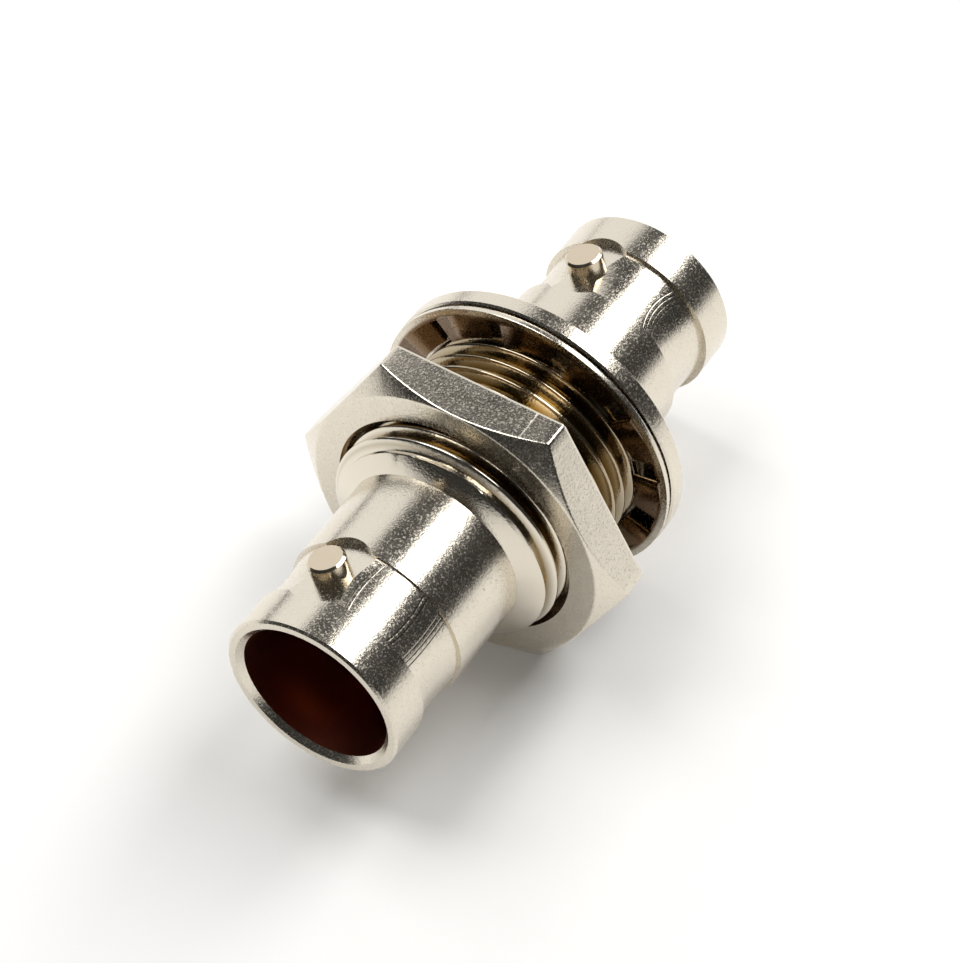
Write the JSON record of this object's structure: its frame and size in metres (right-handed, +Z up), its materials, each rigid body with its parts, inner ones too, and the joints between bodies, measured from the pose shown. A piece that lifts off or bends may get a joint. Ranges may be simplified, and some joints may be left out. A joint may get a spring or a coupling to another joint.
{
  "type": "bulkhead coaxial jack-to-jack adapter",
  "caption": "Bulkhead coaxial adapter with a bayonet jack at each end, a panel flange, a toothed lock washer and a hex nut on a threaded shank.",
  "frame": {"origin": "centre of the flange face that seats on the panel, on the axis of both jacks", "axes": "+X along the axis towards the rear jack, behind the flange; the threaded shank and the front jack point to -X; +Z up as the part lies, square to a flat of the nut"},
  "size_m": [0.0312, 0.019, 0.0166],
  "materials": {
    "nickel_shell": "nickel plated, fine satin",
    "nickel_nut": "nickel plated, fine satin",
    "plated_spring": "nickel plated spring sheet, satin",
    "contact_gold": "gold plated, smooth",
    "ptfe": "machined, waxy matt",
    "brass_ring": "nickel plated, fine satin"
  },
  "bodies": {
    "shell": {"body": "nickel_shell", "front_contact": "contact_gold", "rear_contact": "contact_gold", "front_insulator": "ptfe", "rear_insulator": "ptfe", "retaining_ring": "brass_ring"},
    "washer": {"lock_washer": "plated_spring"},
    "nut": {"hex_nut": "nickel_nut"}
  },
  "joints": [
    {"name": "washer_slide", "type": "slide", "parent": "shell", "child": "washer", "axis": [1, 0, 0], "range_m": [-0.00406, 0]},
    {"name": "nut_travel", "type": "slide", "parent": "washer", "child": "nut", "axis": [1, 0, 0], "range_m": [-0.0034, 0.00406]}
  ]
}
